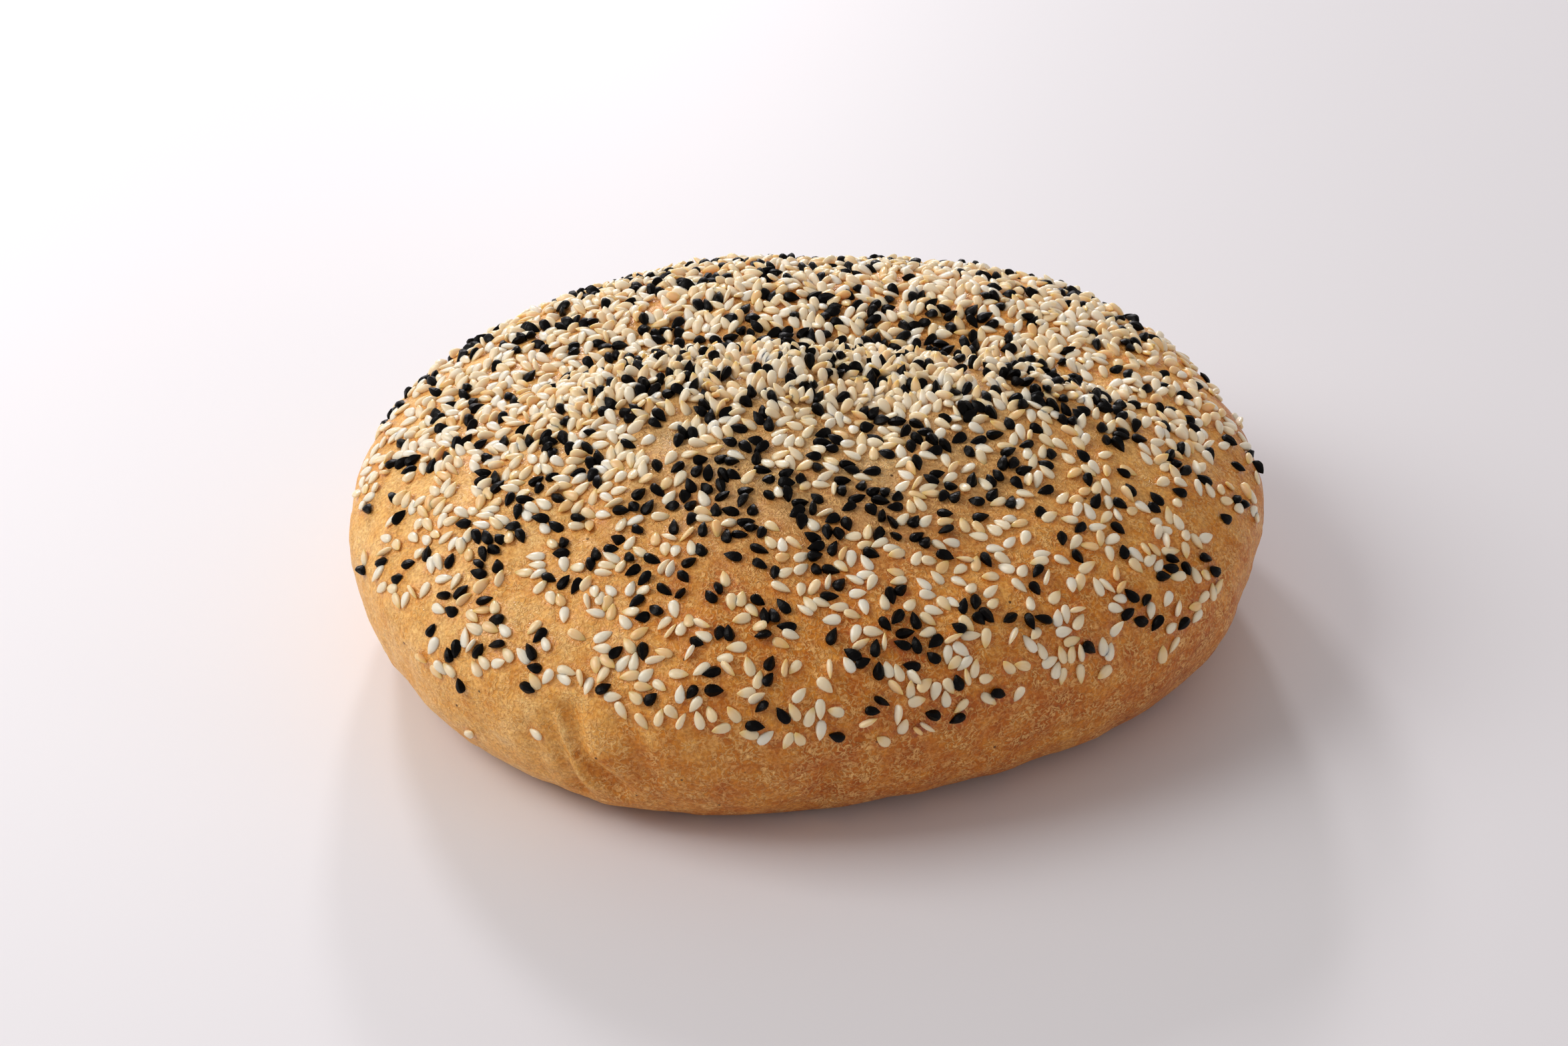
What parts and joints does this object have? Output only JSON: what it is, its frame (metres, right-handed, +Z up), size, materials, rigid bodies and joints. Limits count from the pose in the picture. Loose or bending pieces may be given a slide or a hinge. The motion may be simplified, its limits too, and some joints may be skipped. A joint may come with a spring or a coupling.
{
  "type": "seeded bread roll",
  "caption": "Plump domed oval bread roll with a shallow crease along its crown, topped with white sesame and black cumin seeds over a golden baked crust.",
  "frame": {"origin": "middle of the bounding box at the flat underside", "axes": "+X along the roll's length, left to right as seen from the front; +Y towards the back; +Z up"},
  "size_m": [0.1564, 0.1396, 0.052],
  "materials": {
    "crust": "baked wheat crust, golden brown, with a faint glaze",
    "sesame": "hulled white sesame, cream with toasted tips, slightly oily",
    "black_cumin": "black cumin seed, wrinkled and nearly matte"
  },
  "bodies": {
    "root": {"seeded_roll": "crust"}
  },
  "joints": []
}
